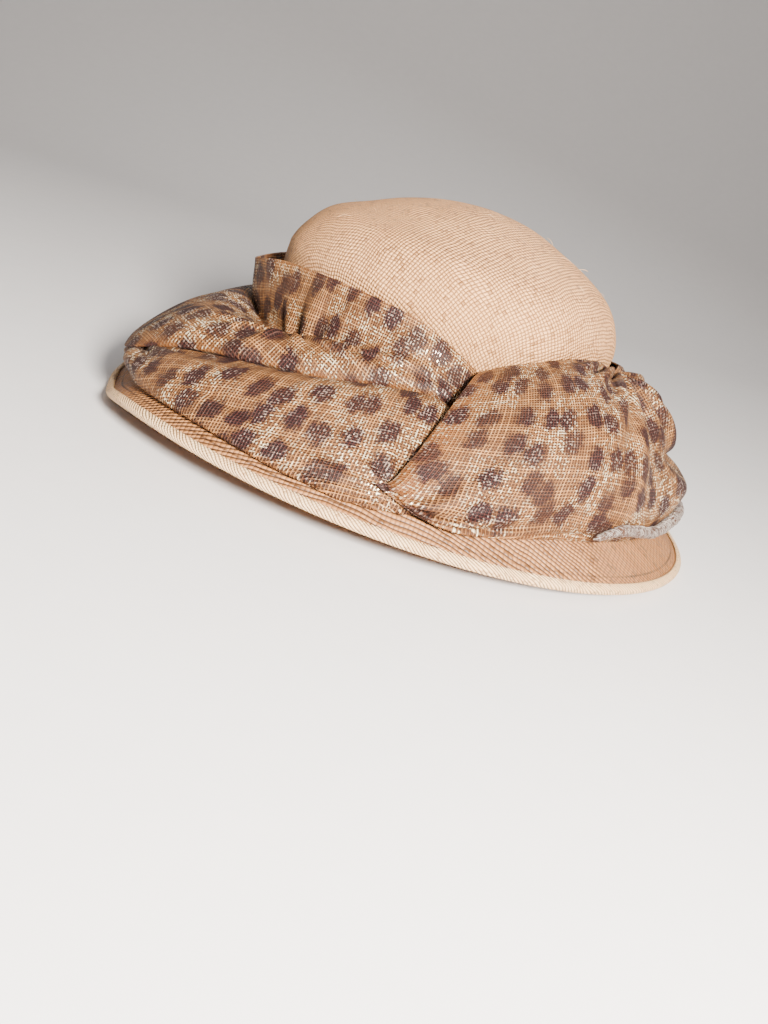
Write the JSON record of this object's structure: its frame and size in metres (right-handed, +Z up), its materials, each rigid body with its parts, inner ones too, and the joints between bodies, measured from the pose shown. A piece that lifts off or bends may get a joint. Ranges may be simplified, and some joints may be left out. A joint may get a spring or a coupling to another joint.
{
  "type": "sun hat",
  "caption": "Straw sun hat with a domed crown, a brim that dips at the front, a bound rim and a draped spotted scarf round the crown.",
  "frame": {"origin": "on the floor the hat rests on, under the middle of its bounding box", "axes": "+Z up. The front of the hat faces -Y and the wearer's left side faces +X. The hat is longest along Y."},
  "size_m": [0.3494, 0.3598, 0.1559],
  "materials": {
    "crown_straw": "woven natural straw, matt with a faint gloss",
    "brim_straw": "fine woven straw, tan",
    "binding_straw": "bias-cut straw cloth, pale",
    "printed_mesh": "stiff open mesh with glittering threads and dark spots",
    "hem_thread": "silvery rolled edge"
  },
  "bodies": {
    "root": {"crown": "crown_straw", "brim": "brim_straw", "rim_binding": "binding_straw", "scarf_upper_wrap": "printed_mesh", "scarf_lower_drape": "printed_mesh", "scarf_back_puff": "printed_mesh", "scarf_rolled_hem": "hem_thread"}
  },
  "joints": []
}
